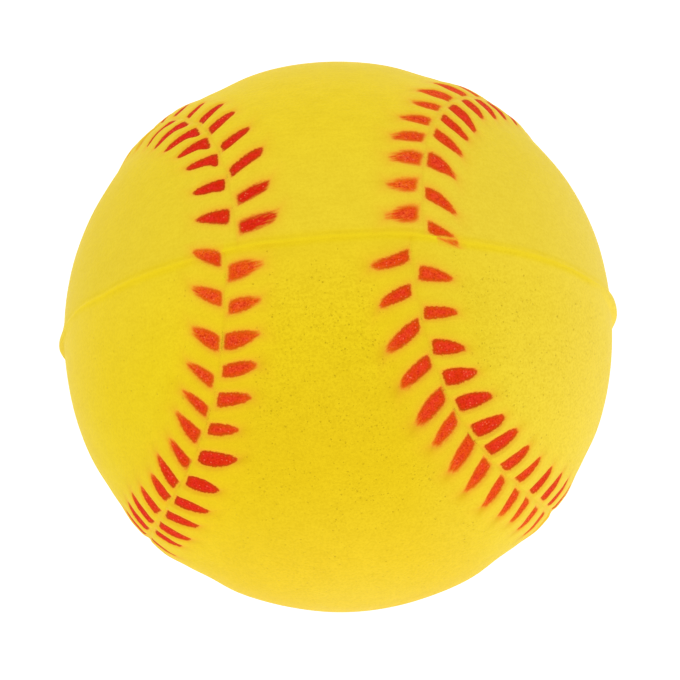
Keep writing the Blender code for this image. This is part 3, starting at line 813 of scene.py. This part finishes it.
def skin_material(name):
    """Yellow moulded skin with pores, and red paint in the stitch dents."""
    s = Shader(name)
    at = s.place()
    edge, thin, soft = s.attr("paint_edge"), s.attr("paint_thin"), s.attr("paint_soft")
    pores, parting = s.attr("pores"), s.attr("parting")

    wide = s.noise(at, 0.055, 2.0, 0.5)
    cloud = s.noise(at, 0.35, 3.0, 0.55)
    grain = s.noise(at, 1.9, 3.0, 0.6)
    fine = s.noise(at, 4.2, 2.0, 0.6)

    # yellow, a little uneven, paler where sheen is painted on
    orange = s.mix(s.ramp(cloud, 0.32, 0.68), rgb(0.826, 0.567, 0.0054), rgb(0.850, 0.589, 0.0066))
    green = s.mix(s.ramp(cloud, 0.32, 0.68), rgb(0.824, 0.613, 0.0066), rgb(0.848, 0.637, 0.0080))
    yellow = s.mix(s.attr("lemon"), orange, green)
    yellow = s.mix(s.ramp(wide, 0.35, 0.65, 0.0, 0.25), yellow, rgb(0.850, 0.606, 0.0066))
    # painted sheen: a pale wash standing for the reflection of the white surroundings
    yellow = s.mix(s.attr("painted_sheen"), yellow, rgb(0.905, 0.715, 0.1100))
    # scaled by the broad zones of painted light and shade
    yellow = s.node("ShaderNodeVectorMath", {0: yellow, "Scale": s.attr("tone")}, operation='SCALE').outputs[0]
    # darker yellow past the dents' tips: painted shade of the shallow hollows there
    yellow = s.mix(s.math('MULTIPLY', s.attr("tip_hollow_shade"), 0.95), yellow, rgb(0.700, 0.455, 0.0025))
    # darker along the seam's middle groove: painted shade
    yellow = s.mix(s.math('MULTIPLY', s.attr("spine"), 0.16), yellow, rgb(0.600, 0.330, 0.0030))

    # pebbled skin: painted shade in its hollows, more of it under the parting line
    pebble = s.noise(at, 3.0, 1.0, 0.5)
    lines = s.noise(s.place((0.35, 1.9, 1.0)), 1.1, 2.0, 0.5)
    hollow = s.math('MULTIPLY', s.ramp(pebble, 0.60, 0.36), s.math('MULTIPLY_ADD', pores, 0.17, 0.13))
    hollow = s.math('ADD', hollow, s.ramp(lines, 0.58, 0.38, 0.0, 0.07))
    yellow = s.mix(hollow, yellow, rgb(0.640, 0.430, 0.0035))

    # parting line: painted shade along its groove and a painted highlight along the ridge under it
    parting_groove_shade = s.ramp(s.math('ABSOLUTE', s.math('SUBTRACT', parting, 0.20)), 0.05, 0.36, 0.12, 0.0)
    yellow = s.mix(s.math('MULTIPLY', parting_groove_shade, s.attr("crease")), yellow, rgb(0.740, 0.520, 0.0060))
    parting_ridge_highlight = s.ramp(s.math('ABSOLUTE', s.math('ADD', parting, 0.35)), 0.08, 0.42, 0.55, 0.0)
    yellow = s.mix(s.math('MULTIPLY', parting_ridge_highlight, s.attr("crease")), yellow, rgb(0.900, 0.675, 0.0090))

    # pores: small round pits, more of them under the parting line, painted darker inside: the shade in them
    pit_at = s.noise(at, 0.12, 1.0, 0.5)
    chance = s.math('MULTIPLY', s.ramp(pit_at, 0.38, 0.62, 0.30, 1.0), pores)
    cell = s.node("ShaderNodeTexVoronoi", {"Vector": at, "Scale": 1.5})
    lot = s.node("ShaderNodeSeparateColor", {0: cell.outputs["Color"]})
    there = s.math('LESS_THAN', lot.outputs[0], chance)
    size = s.math('MULTIPLY_ADD', lot.outputs[1], 0.11, 0.11)
    pit = s.ramp(s.math('DIVIDE', cell.outputs["Distance"], size), 0.35, 1.25, 1.0, 0.0)
    pit = s.math('MULTIPLY', pit, there)
    cell = s.node("ShaderNodeTexVoronoi", {"Vector": at, "Scale": 2.4})
    lot = s.node("ShaderNodeSeparateColor", {0: cell.outputs["Color"]})
    there = s.math('LESS_THAN', lot.outputs[0], chance)
    size = s.math('MULTIPLY_ADD', lot.outputs[1], 0.10, 0.14)
    prick = s.ramp(s.math('DIVIDE', cell.outputs["Distance"], size), 0.30, 1.35, 1.0, 0.0)
    prick = s.math('MULTIPLY', prick, there)
    yellow = s.mix(s.math('MULTIPLY', prick, 0.28), yellow, rgb(0.520, 0.310, 0.0030))
    yellow = s.mix(s.math('MULTIPLY', pit, 0.36), yellow, rgb(0.500, 0.290, 0.0030))

    # paint: full red to thin orange, with a grainy, partly blurred edge and an orange mist round it, partly overspray
    # and partly painted red light bounced from the paint onto the yellow
    ragged = s.math('MULTIPLY_ADD', s.math('SUBTRACT', fine, 0.5), 0.36,
                    s.math('MULTIPLY', s.math('SUBTRACT', grain, 0.5), 0.36))
    brushed = s.node("ShaderNodeCombineXYZ", {0: s.attr("paint_across"), 1: s.math('MULTIPLY', s.attr("paint_out"), 0.16)})
    streak = s.noise(brushed.outputs[0], 3.6, 2.0, 0.5)
    outer = s.math('MULTIPLY', soft, s.ramp(s.attr("paint_out"), 1.0, 3.8))
    ragged = s.math('MULTIPLY_ADD', s.math('SUBTRACT', streak, 0.5), s.math('MULTIPLY', outer, 0.85), ragged)
    rim = s.math('ADD', edge, ragged)
    reach = s.math('MULTIPLY_ADD', soft, 0.36, 0.10)
    cover = s.ramp(s.math('DIVIDE', rim, reach), -1.0, 1.0, 1.0, 0.0)
    bare = s.math('MULTIPLY', s.ramp(streak, 0.48, 0.68), s.ramp(outer, 0.20, 0.75))
    cover = s.math('MULTIPLY', cover, s.math('MULTIPLY_ADD', bare, -0.40, 0.99))
    red = s.mix(thin, rgb(0.735, 0.0110, 0.0020), rgb(0.925, 0.1360, 0.0056))
    blotch = s.noise(at, 0.95, 1.0, 0.5)
    middle = s.math('MULTIPLY', s.ramp(edge, -0.30, -0.75), s.ramp(blotch, 0.38, 0.60, 0.0, 0.75))
    red = s.mix(middle, red, s.mix(thin, rgb(0.840, 0.0165, 0.0190), rgb(0.960, 0.1060, 0.0220)))
    red = s.mix(s.ramp(grain, 0.36, 0.66, 0.0, 0.45), red, rgb(0.640, 0.0150, 0.0030))
    red = s.mix(s.math('MULTIPLY', s.ramp(streak, 0.50, 0.34), s.ramp(outer, 0.10, 0.75, 0.0, 0.50)), red, rgb(0.640, 0.0150, 0.0030))
    red = s.mix(s.ramp(fine, 0.50, 0.66, 0.0, 0.58), red, rgb(0.450, 0.0110, 0.0022))
    # pale flecks in the paint: partly gaps in its pigment, partly painted glints
    fleck_and_glint = s.math('MULTIPLY', s.ramp(fine, 0.46, 0.34), s.math('MULTIPLY_ADD', thin, 0.34, 0.26))
    red = s.mix(fleck_and_glint, red, s.mix(thin, rgb(0.890, 0.0620, 0.0420), rgb(0.970, 0.1700, 0.0460)))
    # small painted glints on the paint
    glint_cells = s.node("ShaderNodeTexVoronoi", {"Vector": at, "Scale": 2.1})
    few = s.math('LESS_THAN', s.node("ShaderNodeSeparateColor", {0: glint_cells.outputs["Color"]}).outputs[0], 0.60)
    glint = s.math('MULTIPLY', s.ramp(glint_cells.outputs["Distance"], 0.10, 0.28, 0.72, 0.0), few)
    red = s.mix(glint, red, rgb(0.960, 0.1900, 0.0900))
    # browner towards the paint's edge and a dark line just inside it: partly paint pooled at the edge, partly painted
    # shade of the dents' walls
    red = s.mix(s.ramp(rim, -0.55, -0.12, 0.0, 0.46), red, s.mix(thin, rgb(0.610, 0.0560, 0.0010), rgb(0.800, 0.1850, 0.0014)))
    line = s.ramp(s.math('ABSOLUTE', s.math('ADD', rim, 0.13)), 0.02, 0.18, 0.70, 0.0)
    line = s.math('MULTIPLY', line, s.math('MULTIPLY', s.ramp(soft, 0.1, 0.7, 1.0, 0.5), s.ramp(thin, 0.05, 0.6, 1.0, 0.5)))
    red = s.mix(line, red, s.mix(thin, rgb(0.440, 0.0420, 0.0013), rgb(0.560, 0.1200, 0.0018)))
    # orange round the paint: partly overspray, partly painted bounce light from the red
    mist = s.math('EXPONENT', s.math('DIVIDE', s.math('MAXIMUM', edge, 0.0), -0.22))
    haze = s.math('EXPONENT', s.math('DIVIDE', s.math('MAXIMUM', edge, 0.0), -0.75))
    overspray_and_red_bounce = s.mix(s.math('MULTIPLY', haze, s.math('MULTIPLY_ADD', soft, 0.28, 0.22)), yellow, rgb(0.890, 0.3050, 0.0260))
    overspray_and_red_bounce = s.mix(s.math('MULTIPLY', mist, 0.42), overspray_and_red_bounce, rgb(1.000, 0.3200, 0.0460))
    colour = s.mix(cover, overspray_and_red_bounce, red)

    # relief of the material itself
    tiny = s.cells(at, 2.6, feature='SMOOTH_F1')
    skin = s.math('MULTIPLY_ADD', pebble, 0.050, s.math('MULTIPLY', tiny, 0.018))
    skin = s.math('MULTIPLY_ADD', lines, 0.020, skin)
    skin = s.math('MULTIPLY_ADD', pit, -0.060, s.math('MULTIPLY_ADD', prick, -0.040, skin))
    film = s.math('MULTIPLY_ADD', fine, 0.040, s.math('MULTIPLY', grain, 0.040))
    height = s.node("ShaderNodeMix", {0: cover, 2: skin, 3: film}, data_type='FLOAT').outputs[0]
    normal = s.bump(height)

    rough = s.math('MULTIPLY_ADD', grain, 0.20, 0.42)
    rough = s.node("ShaderNodeMix", {0: cover, 2: rough, 3: s.math('MULTIPLY_ADD', fine, 0.25, 0.65)},
                   data_type='FLOAT').outputs[0]
    s.put(s.bsdf.inputs["Base Color"], colour)
    s.put(s.bsdf.inputs["Roughness"], rough)
    s.put(s.bsdf.inputs["Normal"], normal)
    s.bsdf.inputs["Specular IOR Level"].default_value = 0.025
    return s.mat


def foam_material(name):
    """Open-cell foam of the core."""
    s = Shader(name)
    at = s.place()
    cell = s.cells(at, 1.4, feature='F1')
    wall = s.cells(at, 1.4, feature='DISTANCE_TO_EDGE')
    tone = s.noise(at, 0.2, 3.0, 0.5)
    colour = s.mix(s.ramp(tone, 0.3, 0.7), rgb(0.74, 0.55, 0.14), rgb(0.83, 0.66, 0.22))
    # darker in the middle of each cell, the hollow in the bump: painted shade
    colour = s.mix(s.ramp(wall, 0.02, 0.30, 0.0, 0.5), colour, rgb(0.42, 0.28, 0.06))
    height = s.math('MULTIPLY_ADD', cell, -0.20, s.ramp(wall, 0.0, 0.22, 0.12, 0.0))
    s.put(s.bsdf.inputs["Base Color"], colour)
    s.put(s.bsdf.inputs["Roughness"], s.math('MULTIPLY_ADD', tone, 0.15, 0.82))
    s.put(s.bsdf.inputs["Normal"], s.bump(height))
    s.bsdf.inputs["Specular IOR Level"].default_value = 0.25
    return s.mat


# ---------------------------------------------------------------------------------
upper = skin_shell("upper_skin_shell", 1.0)
lower = skin_shell("lower_skin_shell", -1.0)
bead = bead_band("parting_bead_band")
skin = skin_material("moulded_yellow_skin")
for piece, node, slot in ((upper, "upper_skin", "skin"), (lower, "lower_skin", "skin"),
                          (bead, "parting_bead", "bead")):
    piece.data.materials.append(skin)
    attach(piece, "root")
    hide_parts(node)

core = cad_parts["foam_core"]
foam = foam_material("open_cell_foam")
for held in core.material_slots:
    held.material = foam

# ---------------------------------------------------------------------------------
# studio
low_z = min(min(v.co.z for v in o.data.vertices) for o in (upper, lower, bead))
bpy.ops.mesh.primitive_plane_add(size=6.0, location=(0, 0, low_z))
floor = bpy.context.object
floor.name = "studio_floor"
paper = bpy.data.materials.new("white_paper")
paper.use_nodes = True
b = paper.node_tree.nodes["Principled BSDF"]
b.inputs["Base Color"].default_value = rgb(0.35, 0.35, 0.35)
b.inputs["Roughness"].default_value = 0.9
b.inputs["Specular IOR Level"].default_value = 0.1
b.inputs["Emission Color"].default_value = rgb(1, 1, 1)
b.inputs["Emission Strength"].default_value = 0.92
floor.data.materials.append(paper)

world = bpy.data.worlds.new("studio")
world.use_nodes = True
world.node_tree.nodes["Background"].inputs["Color"].default_value = rgb(1.0, 1.0, 1.0)
world.node_tree.nodes["Background"].inputs["Strength"].default_value = 0.821
bpy.context.scene.world = world

# camera at the photograph's angle: axes right, up and towards the eye, in the part's frame
RIGHT = (0.99725101, -0.06785877, -0.02975909)
UP = (0.07390923, 0.93956948, 0.33428523)
BACK = (0.00527655, -0.33556575, 0.94200201)
DISTANCE = 15.47824 * R * MM


def facing(direction, distance, up=(0, 0, 1)):
    """Matrix of a lamp at that direction and distance, looking at the origin."""
    z = np.array(direction, float)
    z /= np.linalg.norm(z)
    x = np.cross(up, z)
    x /= np.linalg.norm(x)
    y = np.cross(z, x)
    m = np.eye(4)
    m[:3, 0], m[:3, 1], m[:3, 2], m[:3, 3] = x, y, z, z * distance
    return Matrix(m.tolist())


def soft_box(name, direction, distance, size, power):
    data = bpy.data.lights.new(name, 'AREA')
    data.shape = 'DISK'
    data.size = size
    data.energy = power
    lamp = bpy.data.objects.new(name, data)
    bpy.context.scene.collection.objects.link(lamp)
    lamp.matrix_world = facing(direction, distance)
    return lamp


soft_box("key_softbox", (0.16, -0.69, 0.71), 1.2, 0.70, 2.45)
soft_box("fill_softbox", (-0.29, 0.70, 0.66), 1.2, 0.70, 1.51)

cam_data = bpy.data.cameras.new("camera")
cam_data.sensor_width = 36.0
cam_data.lens = 275.5 * math.sqrt(1 - 1 / 15.47824 ** 2) * 15.47824 * 36.0 / 680
cam_data.shift_x = 1.15 / 680
cam_data.shift_y = -3.37 / 680
cam = bpy.data.objects.new("camera", cam_data)
bpy.context.scene.collection.objects.link(cam)
m = np.eye(4)
m[:3, 0], m[:3, 1], m[:3, 2], m[:3, 3] = RIGHT, UP, BACK, np.array(BACK) * DISTANCE
cam.matrix_world = Matrix(m.tolist())
bpy.context.scene.camera = cam
bpy.context.scene.view_settings.view_transform = 'Standard'
